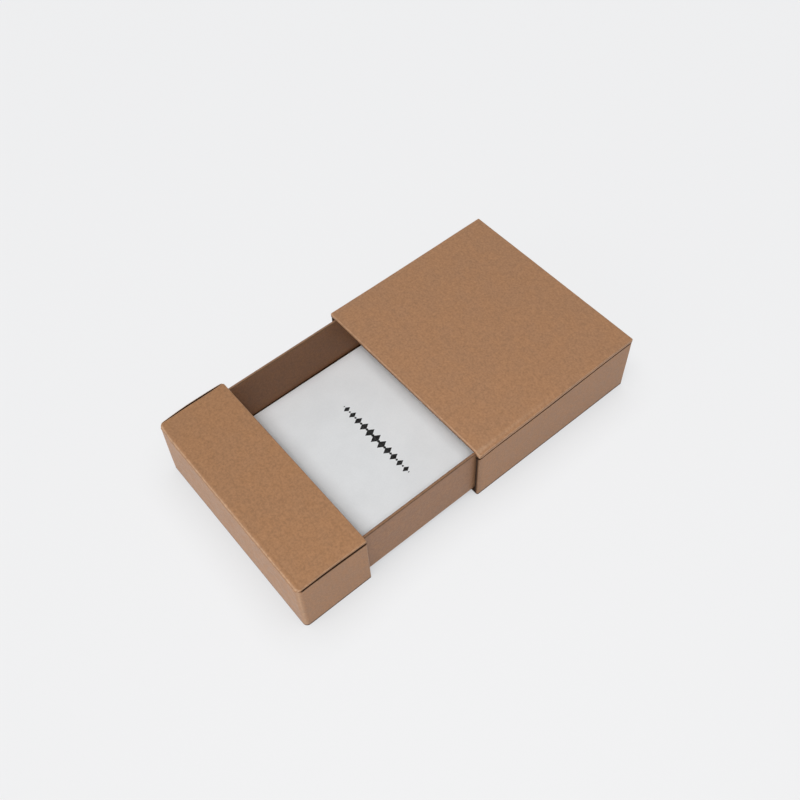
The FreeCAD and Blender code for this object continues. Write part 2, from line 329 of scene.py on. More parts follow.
@dataclass
class Channel:
    """The paper round a bottom, two sides and a closed end: over the walls' tops, round the open
    end's edges and a way inside, and under the bottom as far as a base sheet's window.

    It is a row of rings, from the turned-in edge to the closed end, and each ring goes from the
    top of the left wall round the bottom to the top of the right wall.
    """
    low: Vector
    high: Vector
    opens: str  # "front" or "back"
    wall: float  # the walls' thickness
    wall_top: object  # wall_top(side, y) is their height
    fold: float  # radius of the closed end's uprights
    nose: float  # radius outside round the open end's edges
    inner_nose: float  # and inside
    turn_in: float  # how far the paper goes in at the open end
    window: tuple  # the base sheet's low and high corner

    def __post_init__(self):
        is_front = self.opens == "front"
        self.open_y = self.low.y if is_front else self.high.y
        self.closed_y = self.high.y if is_front else self.low.y
        self.inwards = 1 if is_front else -1
        self.half = self.high.x
        self.length = self.high.y - self.low.y
        self.window_x = self.window[1].x
        self.window_run = sorted(self.inwards * (place.y - self.open_y) for place in self.window)
        columns_end = self.half - self.wall - 2 * INSIDE_FOLD
        self.columns = grid_lines(-columns_end, columns_end, (-self.window_x, self.window_x))
        self.rows = grid_shares(0, self.high.z)
        # (inset, drop) over the top of a wall, from its inside to its outside
        self.cap = [(self.wall, 0), (0.5 * self.wall, 0)] + round_off(CAP_RADIUS, 4)
        self.rings = self.all_rings()
        self.points = [self.ring(*each) for each in self.rings]

    def all_rings(self):
        """(way in from the open end, inset of the sides, inset of the bottom, corner radius) of
        each ring, from the turned-in edge to the closed end."""
        ways = [(mix(self.turn_in, self.inner_nose, k / TURN_IN_STEPS), self.wall)
                for k in range(TURN_IN_STEPS)]
        ways += [(way, self.wall - rise) for way, rise in round_off(self.inner_nose)]
        ways += [(way, inset) for inset, way in round_off(self.nose)]
        rings = [(way, inset, inset, max(BOTTOM_EDGE - inset, INSIDE_FOLD)) for way, inset in ways]
        outside = grid_lines(self.nose, self.length - self.fold, self.window_run)[1:-1]
        rings += [(way, 0, 0, BOTTOM_EDGE) for way in outside]
        for (from_end, inset), (_, rise) in zip(round_off(self.fold), round_off(BOTTOM_EDGE)):
            rings.append((self.length - from_end, inset, rise, BOTTOM_EDGE - rise))
        return rings

    def section(self, side, y, way, side_inset, bottom_inset, radius):
        """(distance from the middle, height) down one side of a ring, from the wall's top."""
        top = self.wall_top(side, y)
        begins, ends = [self.length - place for place in CAP_SHRINKS]
        cap_size = mix(1, LEAST_CAP, smooth_step(begins, ends, way))
        upper, lower = top - CAP_RADIUS * cap_size, self.low.z + bottom_inset + radius
        points = [(self.half - mix(side_inset, self.wall, inward / self.wall), top - drop * cap_size)
                  for inward, drop in self.cap]
        outside = self.half - side_inset
        points += [(outside, mix(lower, upper, share)) for share in reversed(self.rows[:-1])]
        points += [(outside - inward, lower - radius + rise) for rise, inward in round_off(radius)[1:]]
        return points

    def ring(self, way, side_inset, bottom_inset, radius):
        y = self.open_y + self.inwards * way
        right, left = [self.section(side, y, way, side_inset, bottom_inset, radius) for side in (1, -1)]
        under = [(x, self.low.z + bottom_inset) for x in self.columns]
        outline = [(-x, z) for x, z in left] + under + list(reversed(right))
        return [Vector((x, y, z)) for x, z in outline]

    def in_window(self, i, j):
        """Whether a face between the rings lies where the base sheet covers the bottom."""
        middle = (self.points[i][j] + self.points[i + 1][j + 1]) / 2
        way = self.inwards * (middle.y - self.open_y)
        first_column = (len(self.points[0]) - len(self.columns)) // 2
        is_under = first_column - 1 <= j < first_column + len(self.columns) and self.rings[i][1] == 0
        return is_under and abs(middle.x) < self.window_x and self.window_run[0] < way < self.window_run[1]

    def closed_end(self):
        """Rows of points over the closed end, from its bottom to its top."""
        end_x = self.half - self.fold
        bottom = self.low.z + BOTTOM_EDGE
        top = self.wall_top(1, self.closed_y)
        heights = [mix(bottom, top - LEAST_CAP * CAP_RADIUS, share) for share in self.rows] + [top]
        return [[Vector((x, self.closed_y, z)) for x in [-end_x, *self.columns, end_x]] for z in heights]

    def piece(self, name, material, shape=unchanged, shade=None):
        """The channel as an object.  shape(point) is where a point of it goes."""
        bm = bmesh.new()
        add_grid(bm, self.points, self.in_window)
        add_grid(bm, self.closed_end())
        join_up(bm, self.low.z, -1)
        for vertex in bm.verts:
            vertex.co = shape(vertex.co.copy())
        sink_unevenly(bm, UNEVEN)
        return finish_piece(name, bm, material, WRAP_SHEET, shade)


# ---- the tray
TRAY_FOLD = 1.1 * MM  # of the tray's corners and bottom edges
TRAY_TURN_IN = 6 * MM  # how far the outer paper goes down inside the rim
RIM_OUTER = 0.45 * MM  # of the rim's outer edge
RIM_INNER = 0.35 * MM
RIM_CLEARANCE = 0.02 * MM  # from the turned-in paper to the bay's lining
RIM_SHADE = (1.2 * MM, 0.3 * MM)  # below the rim, where the band of painted shade begins and is full
RIM_LINE = (0.1 * MM, 0.45 * MM)  # from the rim's edges, how far the darker lines reach
TRAY_FOOT_SHADE = (0.3 * MM, 1.2 * MM)
TRAY_RUN = grid_shares(tray_low.y, tray_high.y)
TRAY_ACROSS = [x / tray_high.x for x in grid_lines(-tray_high.x, tray_high.x)]


def tray_path(inset):
    """The way round the tray in plan, from its left front to its right front, that far in."""
    half, back = tray_high.x - inset, tray_high.y - inset
    radius = max(TRAY_FOLD - inset, 0)
    path = [(-half, mix(tray_low.y, back - radius, share)) for share in TRAY_RUN]
    path += [(-half + inwards, back - behind) for behind, inwards in round_off(radius)[1:]]
    path += [((half - radius) * share, back) for share in TRAY_ACROSS[1:]]
    path += [(half - inwards, back - behind) for inwards, behind in round_off(radius)[1:]]
    path += [(half, mix(tray_low.y, back - radius, share)) for share in reversed(TRAY_RUN[:-1])]
    return path


def tray_profile():
    """(inset, height) from the turned-in edge over the rim and down to the bottom."""
    inside = TRAY_WALL - RIM_CLEARANCE
    profile = [(inside, tray_high.z - mix(TRAY_TURN_IN, RIM_INNER, k / 4)) for k in range(4)]
    profile += [(inside - inset, tray_high.z - drop) for drop, inset in round_off(RIM_INNER)]
    profile += [(inset, tray_high.z - drop) for inset, drop in round_off(RIM_OUTER)]
    low, high = tray_low.z + TRAY_FOLD, tray_high.z - RIM_OUTER
    profile += [(0, z) for z in reversed(grid_lines(low, high)[1:-1])]
    profile += [(inset, tray_low.z + rise) for rise, inset in round_off(TRAY_FOLD)]
    return profile


def rim_shade(point):
    """Painted shade: the rim is a little darker all over and more along its outer and inner edge, and the
    bottom's edge is dark.
    """
    inset = max(tray_high.x - abs(point.x), 0)
    from_edge = min(inset, abs(TRAY_WALL - inset))
    begins, full = [tray_high.z - depth for depth in RIM_SHADE]
    rim = smooth_step(begins, full, point.z) * (0.2 + 0.35 * (1 - smooth_step(*RIM_LINE, from_edge)))
    foot = 0.7 * (1 - smooth_step(*TRAY_FOOT_SHADE, point.z - tray_low.z))
    return max(foot, rim)


def tray_wrap(material):
    """The paper over the tray's rim, down its outside and under its bottom."""
    rows = [[Vector((x, y, z)) for x, y in tray_path(inset)] for inset, z in tray_profile()]
    bm = bmesh.new()
    add_grid(bm, rows)
    half, back = tray_high.x - TRAY_FOLD, tray_high.y - TRAY_FOLD
    xs = [half * share for share in TRAY_ACROSS]
    ys = [mix(tray_low.y, back, share) for share in TRAY_RUN]
    add_grid(bm, [[Vector((x, y, tray_low.z)) for x in xs] for y in ys])
    join_up(bm, tray_low.z, -1)
    sink_unevenly(bm, UNEVEN)
    return finish_piece("tray_wrap", bm, material, TRAY_SHEET, rim_shade)


def open_box(name, low, high, radius, top_at, sides, material, thickness, shade=None):
    """Lining paper inside a box: a floor and walls, seen from within.

    radius is that of its folds, and top_at(side, place) a wall's height at a place along it.
    """
    xs, ys = [grid_lines(low[axis], high[axis]) for axis in (0, 1)]
    shares = grid_shares(low.z, high.z)
    planes = side_planes(low, high)
    bm = bmesh.new()
    block_side(bm, 2, low.z, xs, ys)
    for side in sides:
        axis, place = planes[side]
        rows = [[(along, mix(low.z, top_at(side, along), share)) for share in shares]
                for along in (ys if axis == 0 else xs)]
        add_grid(bm, across(axis, place, rows))
    bmesh.ops.remove_doubles(bm, verts=bm.verts, dist=SAME_POINT)
    far_above = high + Vector((0, 0, 50 * MM))  # so that the top edges stay as they are
    for vertex in bm.verts:
        vertex.co = rounded(vertex.co, low, far_above, radius)
    join_up(bm, low.z, 1)
    sink_unevenly(bm, LINING_UNEVEN)
    return finish_piece(name, bm, material, thickness, shade)


# ---- materials
MIX_FIRST, MIX_SECOND, MIX_RESULT = 6, 7, 2  # a Mix node's sockets for colours


class Nodes:
    """The node tree of a material or the world, with short calls for its nodes."""

    def __init__(self, owner):
        owner.use_nodes = True
        self.owner = owner
        self.tree = owner.node_tree
        self.tree.nodes.clear()
        self.coordinates = self.add("TexCoord")
        self.place = self.coordinates.outputs["Object"]

    def add(self, kind, inputs=(), **settings):
        """A shader node with those settings, and with inputs that are values or other nodes' outputs."""
        node = self.tree.nodes.new("ShaderNode" + kind)
        for key, value in settings.items():
            setattr(node, key, value)
        for key, value in dict(inputs).items():
            if isinstance(value, bpy.types.NodeSocket):
                self.tree.links.new(value, node.inputs[key])
            else:
                node.inputs[key].default_value = value
        return node

    def noise(self, size, detail=2, roughness=0.5, stretch=(1, 1, 1), turn=(0, 0, 0)):
        """Noise from 0 to 1 whose features are about size across, in metres."""
        at = self.add("Mapping", {"Vector": self.place, "Rotation": turn, "Scale": stretch})
        made = self.add("TexNoise", {"Vector": at.outputs[0], "Scale": 1 / size, "Detail": detail,
                                     "Roughness": roughness})
        return made.outputs["Fac"]

    def math(self, operation, first, second=0.0, third=0.0):
        """A Math node's result."""
        return self.add("Math", {0: first, 1: second, 2: third}, operation=operation).outputs[0]

    def span(self, value, low, high, to_low, to_high, smooth=True):
        """Value from low to high becomes to_low to to_high, and stays within them."""
        kind = "SMOOTHSTEP" if smooth else "LINEAR"
        inputs = {"Value": value, "From Min": low, "From Max": high, "To Min": to_low, "To Max": to_high}
        return self.add("MapRange", inputs, interpolation_type=kind).outputs["Result"]

    def mix(self, share, first, second, blend="MIX"):
        """A share of the second colour in the first."""
        inputs = {0: share, MIX_FIRST: first, MIX_SECOND: second}
        return self.add("Mix", inputs, data_type="RGBA", blend_type=blend).outputs[MIX_RESULT]

    def scaled(self, colour, amount):
        """A colour with its light multiplied by a value."""
        grey = self.add("CombineColor", {"Red": amount, "Green": amount, "Blue": amount})
        return self.mix(1.0, colour, grey.outputs[0], "MULTIPLY")

    def background_rays(self):
        """1 for the rays that show the background, to the camera or by gloss or glass, and 0 for light."""
        rays = self.add("LightPath").outputs
        by_gloss = self.math("MAXIMUM", rays["Is Camera Ray"], rays["Is Glossy Ray"])
        return self.math("MAXIMUM", by_gloss, rays["Is Transmission Ray"])

    def mix_shaders(self, share, first, second):
        return self.add("MixShader", {0: share, 1: first.outputs[0], 2: second.outputs[0]})

    def finish(self, colour, roughness, height, bump_distance, specular):
        """A material's shader and its output.  The bump is that high, in metres."""
        bump = self.add("Bump", {"Height": height, "Strength": 1.0, "Distance": bump_distance})
        shader = self.add("BsdfPrincipled", {"Base Color": colour, "Roughness": roughness,
                                             "Normal": bump.outputs[0], "Specular IOR Level": specular})
        self.add("OutputMaterial", {"Surface": shader.outputs[0]})
        return self.owner


def rgb(red, green, blue):
    """A colour written as 0 to 255 on the screen, as light."""
    shares = [value / 255 for value in (red, green, blue)]
    light = [share / 12.92 if share <= 0.04045 else ((share + 0.055) / 1.055) ** 2.4 for share in shares]
    return *light, 1


def fibres(n, size, turn):
    """Sparse hair-like streaks, from 0 to 1, along a direction given as a turn in the plane."""
    streak = n.noise(size, 3, 0.55, (0.10, 1.0, 1.0), turn)
    return n.span(streak, 0.60, 0.74, 0, 1)


KRAFT_COOL = (0.98, 0.99, 1.01, 1)  # how far the paper's clouds lean off its colour
KRAFT_WARM = (1.02, 1.01, 0.99, 1)
# the colour that painted shade darkens the papers towards
DEEP_SHADE = rgb(30, 16, 8)


def kraft_paper(name, base, edge_colour, specular):
    """Brown kraft paper: cloudy, with fine fibres and dark flecks, the edge colour on its rounded edges,
    and painted shade in slits, gaps and under edges.
    """
    n = Nodes(bpy.data.materials.new(name))
    cloud = n.noise(9 * MM, 3, 0.55)
    pulp = n.noise(2.2 * MM, 4, 0.6)
    grain = n.noise(1.0 * MM, 3, 0.65)
    cool, warm = [tuple(c * k for c, k in zip(base, tint)) for tint in (KRAFT_COOL, KRAFT_WARM)]
    colour = n.mix(n.span(cloud, 0.35, 0.65, 0, 1), cool, warm)
    light = n.math("ADD", n.span(pulp, 0.3, 0.7, -0.06, 0.06), 1.0)
    light = n.math("ADD", light, n.span(grain, 0.32, 0.68, -0.11, 0.11))
    hair = n.math("MAXIMUM", fibres(n, 0.5 * MM, (0.3, 0.2, 0.5)), fibres(n, 0.45 * MM, (0.1, 0.5, -1.0)))
    light = n.math("MULTIPLY_ADD", hair, 0.07, light)
    fleck = n.span(n.noise(0.9 * MM, 2, 0.5, (0.6, 1, 1), (0.4, 0.9, 0.2)), 0.70, 0.76, 0, 1)
    light = n.math("MULTIPLY_ADD", fleck, -0.16, light)
    # Rounded edges take the edge colour in patches. On the cover it is lighter: rubbed edges with a painted
    # highlight. On the tray's papers and the sleeve's lining it is darker: painted shade.
    edge_amount = n.add("Attribute", attribute_name="edge_amount").outputs["Fac"]
    patchy = n.span(n.noise(2.2 * MM, 3, 0.6), 0.3, 0.7, 0.6, 1)
    edge_share = n.math("MULTIPLY", n.math("MULTIPLY", edge_amount, patchy), 0.5)
    # Painted shade from the shade attribute: it takes the edge colour away, darkens the paper towards
    # DEEP_SHADE and makes it rougher.
    shade = n.add("Attribute", attribute_name="shade").outputs["Fac"]
    edge_share = n.math("MULTIPLY", edge_share, n.math("SUBTRACT", 1.0, shade))
    colour = n.scaled(n.mix(edge_share, colour, edge_colour), light)
    colour = n.mix(shade, colour, DEEP_SHADE)
    roughness = n.math("MAXIMUM", n.span(pulp, 0.3, 0.7, 0.38, 0.5), n.span(shade, 0.2, 0.7, 0, 1))
    height = n.math("ADD", n.math("MULTIPLY", grain, 0.5), n.math("MULTIPLY", pulp, 0.5))
    height = n.math("MULTIPLY_ADD", hair, 0.25, height)
    return n.finish(colour, roughness, height, 0.05 * MM, specular)


def greyboard():
    """The bare board inside the papers: grey-brown pulp with specks."""
    n = Nodes(bpy.data.materials.new("bare_board"))
    pulp = n.noise(1.4 * MM, 4, 0.65)
    layers = n.noise(0.5 * MM, 2, 0.5, (0.2, 0.2, 2.5))
    speck = n.span(n.noise(0.6 * MM, 2), 0.68, 0.74, 0, 1)
    light = n.math("ADD", n.span(pulp, 0.3, 0.7, 0.88, 1.1), n.span(layers, 0.3, 0.7, -0.06, 0.06))
    light = n.math("MULTIPLY_ADD", speck, -0.25, light)
    colour = n.scaled(n.mix(pulp, rgb(128, 112, 94), rgb(146, 132, 114)), light)
    return n.finish(colour, n.span(pulp, 0.3, 0.7, 0.8, 0.95), pulp, 0.08 * MM, 0.25)


ORNAMENT_CENTRE = Vector((0.6 * MM, -61.7 * MM))
ORNAMENT_STEP = 4.2 * MM  # between the lozenges' centres
ORNAMENT_REACH = 23.1 * MM
LOZENGE_SIZE = 2.9 * MM  # half the height of the tallest
LEAST_SIZE = 0.6  # the share of it that is left at the row's ends
LOZENGE_SLOPE = 1.5  # height over width
DOT_SIZE = 0.24  # a dot's radius over the size of the lozenges beside it
INK = rgb(9, 8, 8)
INK_SOFTNESS = 0.06 * MM


def ornament(n):
    """A plain row of lozenges that shrink towards both ends, with a dot between each two."""
    where = n.add("SeparateXYZ", {"Vector": n.place})
    x = n.math("SUBTRACT", where.outputs["X"], ORNAMENT_CENTRE.x)
    y = n.math("ABSOLUTE", n.math("SUBTRACT", where.outputs["Y"], ORNAMENT_CENTRE.y))
    from_centre = n.math("ABSOLUTE", x)
    size = n.span(from_centre, 0, ORNAMENT_REACH, LOZENGE_SIZE, LEAST_SIZE * LOZENGE_SIZE, smooth=False)
    to_lozenge = n.math("PINGPONG", n.math("ADD", x, 100 * ORNAMENT_STEP), 0.5 * ORNAMENT_STEP)
    lozenge = n.math("SUBTRACT", n.math("MULTIPLY_ADD", to_lozenge, LOZENGE_SLOPE, y), size)
    to_dot = n.math("SUBTRACT", 0.5 * ORNAMENT_STEP, to_lozenge)
    squares = n.math("ADD", n.math("POWER", to_dot, 2.0), n.math("POWER", y, 2.0))
    dot = n.math("SUBTRACT", n.math("SQRT", squares), n.math("MULTIPLY", size, DOT_SIZE))
    ink = n.span(n.math("MINIMUM", lozenge, dot), -INK_SOFTNESS, INK_SOFTNESS, 1, 0)
    inside = n.span(from_centre, ORNAMENT_REACH, ORNAMENT_REACH + INK_SOFTNESS, 1, 0)
    return n.math("MULTIPLY", ink, inside)


def white_card():
    """Smooth off-white card, faintly fibrous, with a small printed ornament in black ink."""
    n = Nodes(bpy.data.materials.new("card_stock"))
    cloud = n.noise(14 * MM, 3, 0.5)
    fibre = n.noise(0.8 * MM, 4, 0.65)
    colour = n.mix(n.span(cloud, 0.3, 0.7, 0, 1), rgb(230, 233, 235), rgb(234, 237, 239))
    colour = n.scaled(colour, n.span(fibre, 0.3, 0.7, 0.985, 1.01))
    ink = ornament(n)
    colour = n.mix(n.math("MULTIPLY", ink, n.span(fibre, 0.25, 0.6, 0.94, 1)), colour, INK)
    roughness = n.math("MULTIPLY_ADD", ink, -0.1, n.span(fibre, 0.3, 0.7, 0.5, 0.6))
    return n.finish(colour, roughness, fibre, 0.012 * MM, 0.2)


# Edge colours: the cover's is rubbed edges with a painted highlight; that of the tray's papers and the
# lining is painted shade.
RUBBED_AND_HIGHLIT, SHADED_EDGE = rgb(192, 163, 136), rgb(120, 90, 68)
cover_paper = kraft_paper("cover_kraft", rgb(155, 115, 83), RUBBED_AND_HIGHLIT, 0.28)
# The head's lid has a darker copy of the cover's paper: painted shade that evens out the light, which is
# stronger at the head.
shaded_head_paper = kraft_paper("shaded_head_kraft", rgb(151, 111, 78), RUBBED_AND_HIGHLIT, 0.28)
tray_paper = kraft_paper("tray_kraft", rgb(146, 110, 84), SHADED_EDGE, 0.2)
# The bay's paper is a darker copy of the tray's: painted shade inside the tray.
shaded_bay_paper = kraft_paper("shaded_bay_kraft", rgb(124, 86, 58), SHADED_EDGE, 0.2)
lining_paper = kraft_paper("lining_kraft", rgb(140, 102, 74), SHADED_EDGE, 0.15)
board = greyboard()
card_material = white_card()

# ---- shared by the sleeve and the head
LID_BEND = (HALF_WIDTH - 3.5 * MM, HALF_WIDTH - 0.2 * MM)  # from the middle: where a lid bends down
SLIT_DARK = 0.14 * MM  # how far below a wall's top edge the slit's painted shade reaches
FOOT_DARK = (0.4 * MM, 1.5 * MM)  # above the bottom, where the painted shade ends
FOOT_CORNER = (HALF_WIDTH - 2 * MM, HALF_WIDTH - 0.2 * MM)
CORE_EDGE = 0.4 * MM


def side_drop(point, hang, top, seam):
    """How far a lid's point drops where its side hangs.  Where it is drawn up, the top stays."""
    share = smooth_step(*LID_BEND, abs(point.x))
    if hang < 0:
        share *= (top - point.z) / (top - seam)
    return hang * share


def slit_shade(point, side_top):
    """A wall's top edge is painted dark, as the shade of the slit above it."""
    top = side_top(side_of(point), point.y)
    return 0.9 * smooth_step(top - SLIT_DARK, top - 0.3 * SLIT_DARK, point.z)


def foot_shade(point):
    """Painted shade: the lowest edge is dark where it turns under, most at the sides."""
    most = mix(0.55, 0.92, smooth_step(*FOOT_CORNER, abs(point.x)))
    return most * (1 - smooth_step(*FOOT_DARK, point.z))


def core(node, low_trim, high_trim, shape=unchanged, corners=()):
    """The board of a node, kept clear of the rounded papers round it by the trims, in millimetres."""
    low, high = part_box(node)
    return panel(node.replace("_board", "_core"), low + Vector(low_trim) * MM,
                 high - Vector(high_trim) * MM, board, all_edges(CORE_EDGE), dict(corners), shape=shape)


def put(piece, body, slot_name, *nodes):
    """Attaches a piece to what it moves with and hides the nodes it stands for; slot_name, its paper or
    board, is not used.
    """
    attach(piece, body)
    if nodes:
        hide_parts(*nodes)


# ---- the sleeve
MOUTH, BACK = sleeve_body_low.y, sleeve_body_high.y
SLEEVE_FOLD = 0.5 * MM  # of the paper round the back's uprights
SLEEVE_HANG = {1: (1.3 * MM, -0.2 * MM), -1: (0.4 * MM, 0)}  # by side: of the lid, at the mouth and back
HANG_RUN = (MOUTH + 25.5 * MM, BACK - 0.5 * MM)  # where it changes from one to the other
CORNER_HANG = 0.4 * MM  # what the lid hangs more at the mouth's right corner
CORNER_RUN = (MOUTH - 0.5 * MM, MOUTH + 9.5 * MM)
SLEEVE_SLIT = 0.75 * MM
SLIT_CLOSES = (BACK - 1.8 * MM, BACK - 0.6 * MM)
LID_INSET = 0.1 * MM
LINING_START = 12 * MM  # from the mouth
LINING_TOP = SLEEVE_SEAM - 0.02 * MM
SLEEVE_TRIMS = {
    "sleeve_top_board": ((2.4, 0.35, 0.02), (3.2, 0.35, 0.1)),
    "sleeve_bottom_board": ((0.3, 1, 0.05), (0.3, 0.1, 0.05)),
    "sleeve_back_board": ((2.6, 0.1, 0.05), (2.6, 0.1, 0.1)),
    "sleeve_left_board": ((0.1, 1, 0.05), (0.1, 0, 1.1)),
    "sleeve_right_board": ((0.1, 1, 0.05), (0.1, 0, 1.9)),
}


def sleeve_hang(side, y):
    """How far the sleeve's lid hangs at its side edge: most at the mouth's right."""
    at_mouth, at_back = SLEEVE_HANG[side]
    at_corner = CORNER_HANG * (1 - smooth_step(*CORNER_RUN, y)) if side > 0 else 0
    return mix(at_mouth, at_back, smooth_step(*HANG_RUN, y)) + at_corner


def sleeve_lid_drop(point):
    return side_drop(point, sleeve_hang(side_of(point), point.y), sleeve_top_high.z, SLEEVE_SEAM)


def sleeve_lid_shape(point):
    """The sleeve's lid bends down towards its sides."""
    return point - Vector((0, 0, sleeve_lid_drop(point)))


def mouth_edge_shade(point):
    """Painted shade: the lower half of the lid's front edge is dark."""
    height = point.z + sleeve_lid_drop(point) - SLEEVE_SEAM
    at_front = 1 - smooth_step(0.2 * MM, 0.5 * MM, point.y - sleeve_top_low.y)
    return 0.75 * at_front * (1 - smooth_step(0.4 * MM, 1.1 * MM, height))


def sleeve_side_top(side, y):
    """The sleeve's side walls stop below the lid, but meet it at the back."""
    slit = SLEEVE_SEAM - sleeve_hang(side, y) - SLEEVE_SLIT
    return mix(slit, SLEEVE_SEAM, smooth_step(*SLIT_CLOSES, y))


def sleeve_shade(point):
    """Painted shade: the sleeve's wall ends turn from light outside to dark inside, and the walls are dark
    at the slits and the foot.
    """
    inset = sleeve_body_high.x - abs(point.x)
    at_mouth = 1 - smooth_step(1.2 * MM, 3 * MM, point.y - MOUTH)
    end = 0.95 * at_mouth * smooth_step(-0.3 * MM, 1.1 * MM, inset)
    return max(end, slit_shade(point, sleeve_side_top), foot_shade(point))


def sleeve_lid():
    """The top panel's paper, turned down over the panel's edges."""
    radii = edges(left_top=0.25, right_top=0.4, front_top=0.6, back_top=0.25, left_under=0.2,
                  right_under=0.2, front_under=0.35, back_under=0.1, left_front=0.15,
                  right_front=0.15, left_back=0.15, right_back=0.15)
    corners = edges(left_front=0.8, right_front=1.7, left_back=0.4, right_back=0.4)
    return panel("sleeve_top_wrap", Vector((sleeve_top_low.x, sleeve_top_low.y, SLEEVE_SEAM)),
                 sleeve_top_high, cover_paper, radii, corners, COVER_PAPER,
                 inset=lambda side, share: LID_INSET * leaf(share, 0.5),
                 shape=sleeve_lid_shape, shade=mouth_edge_shade)


def sleeve_walls():
    """The paper of the sleeve's sides, back and bottom margin."""
    paper = Channel(sleeve_body_low, sleeve_body_high, opens="front", wall=SLEEVE_WALL - 0.05 * MM,
                    wall_top=sleeve_side_top, fold=SLEEVE_FOLD, nose=1.05 * MM, inner_nose=0.95 * MM,
                    turn_in=14 * MM, window=(sleeve_base_low, sleeve_base_high))
    return paper.piece("sleeve_body_wrap", cover_paper, shade=sleeve_shade)


def lining_top(side, place):
    """The lining stops below the slit, and meets the lid at the back."""
    if side == "back":
        return LINING_TOP
    return sleeve_side_top(1 if side == "right" else -1, place) - 0.1 * MM


def sleeve_inside():
    """The lining paper inside the sleeve."""
    half = sleeve_body_high.x - SLEEVE_WALL
    low = Vector((-half, MOUTH + LINING_START, sleeve_lining_low.z + LINING_PAPER))
    high = Vector((half, sleeve_lining_high.y - LINING_PAPER, LINING_TOP))
    return open_box("sleeve_lining_sheet", low, high, 0.25 * MM, lining_top,
                    ("left", "right", "back"), lining_paper, LINING_SHEET)


put(sleeve_lid(), "sleeve", "cover_paper", "sleeve_top_paper")
put(sleeve_walls(), "sleeve", "cover_paper", "sleeve_body_paper")
put(sleeve_inside(), "sleeve", "lining_paper", "sleeve_lining")
for node_name, trims in SLEEVE_TRIMS.items():
    put(core(node_name, *trims), "sleeve", "greyboard", node_name)

# ---- the head
HEAD_FOLD = 2.2 * MM  # of the paper round the front's uprights
LID_BACK_FOLD = 1.4 * MM  # of the lid's corner at the left back
FOLD_SHARE = 0.03  # of the head's depth, that the front fold takes
HEAD_HANG = {1: (-0.45 * MM, 0.4 * MM), -1: (-0.2 * MM, 0)}  # by side: of the lid, at the front and back
HEAD_SLIT = (1.05 * MM, 1.3 * MM)  # at the front and back
SLIT_NARROWS = 0.3 * MM  # between them
LEAN, CORNER_LEAN = 0.3 * MM, 0.55 * MM
LEAN_REACH = 7 * MM  # of the left corner's lean
CREASE_PLACE, CREASE_WAVE = 2.4 * MM, 0.5 * MM  # behind the front
CREASE_DEPTH = (0.03 * MM, 0.1 * MM)  # at the left and right
CREASE_WIDTH = 0.4 * MM
HEAD_CORNERS = {("left", "front"): HEAD_FOLD, ("right", "front"): HEAD_FOLD}
HEAD_TRIMS = {
    "head_top_board": ((2.4, 1.6, 0.02), (2, 0.3, 0.15)),
    "head_rear_board": ((2, 0.1, 0), (2, 0.1, 0.1)),
    "head_left_board": ((0.1, 1, 0.05), (0.1, 0.6, 1.4)),
    "head_right_board": ((0.1, 1, 0.05), (0.1, 0.6, 1.4)),
    "head_front_board": ((2.3, 0.1, 0.05), (2.3, 0, 0.3)),
    "head_bottom_board": ((0.2, 0.2, 0.05), (0.2, 0.9, 0.05)),
}
UPRIGHT_BOARDS = ("head_top_board", "head_rear_board")  # the others lean with the front


def head_share(y):
    """The way from the head's front to its back, from 0 to 1."""
    return (y - head_body_low.y) / (head_body_high.y - head_body_low.y)


def head_hang(side, y):
    """How far the head's lid hangs at its side edge: it starts high behind the front fold."""
    share = head_share(y)
    return mix(*HEAD_HANG[side], share) * smooth_step(FOLD_SHARE, 0.08, share)


def head_side_top(side, y):
    """The slit under the head's lid opens at once behind the front fold, and stays open."""
    share = head_share(y)
    width = mix(*HEAD_SLIT, share) - SLIT_NARROWS * leaf(share, 0.45)
    return min(HEAD_SEAM, HEAD_SEAM - head_hang(side, y) - width * smooth_step(FOLD_SHARE, 0.07, share))


def head_shade(point):
    """Painted shade: the head's walls are dark at the slits and at the foot, and the front only at the
    foot.
    """
    if head_share(point.y) < 0.06:
        return foot_shade(point)
    return max(slit_shade(point, head_side_top), foot_shade(point))


def head_lean(point):
    """The head's front leans back a little, most at its upper left corner."""
    corner = math.exp(-((point.x + HALF_WIDTH) / LEAN_REACH) ** 2)
    height = max(point.z, 0) / head_top_high.z
    near_front = 1 - smooth_step(0, 0.5, head_share(point.y))
    push = (LEAN + CORNER_LEAN * corner) * height ** 1.3 * near_front
    return point + Vector((0.7 * push * corner, push, 0))


def fold_crease(point):
    """A shallow, wavy groove where the paper was creased to fold over the head's front."""
    wave = CREASE_WAVE * noise(Vector((point.x * 80, 2.2, 0)))
    line = head_top_low.y + CREASE_PLACE + wave
    depth = mix(*CREASE_DEPTH, smooth_step(-HALF_WIDTH, HALF_WIDTH, point.x))
    return depth * math.exp(-((point.y - line) / CREASE_WIDTH) ** 2)


def head_lid_shape(point):
    """The head's lid hangs at its sides, is creased behind its front and leans with it."""
    drop = side_drop(point, head_hang(side_of(point), point.y), head_top_high.z, HEAD_SEAM)
    dent = fold_crease(point) * smooth_step(head_top_high.z - MM, head_top_high.z - 0.2 * MM, point.z)
    return head_lean(point - Vector((0, 0, drop + dent)))


def head_inset(side, share):
    """The head's lid curves in at its sides, most at the left."""
    return 0.8 * MM * leaf(share, 0.6) ** 0.35 if side < 0 else 0.2 * MM * leaf(share, 0.5)


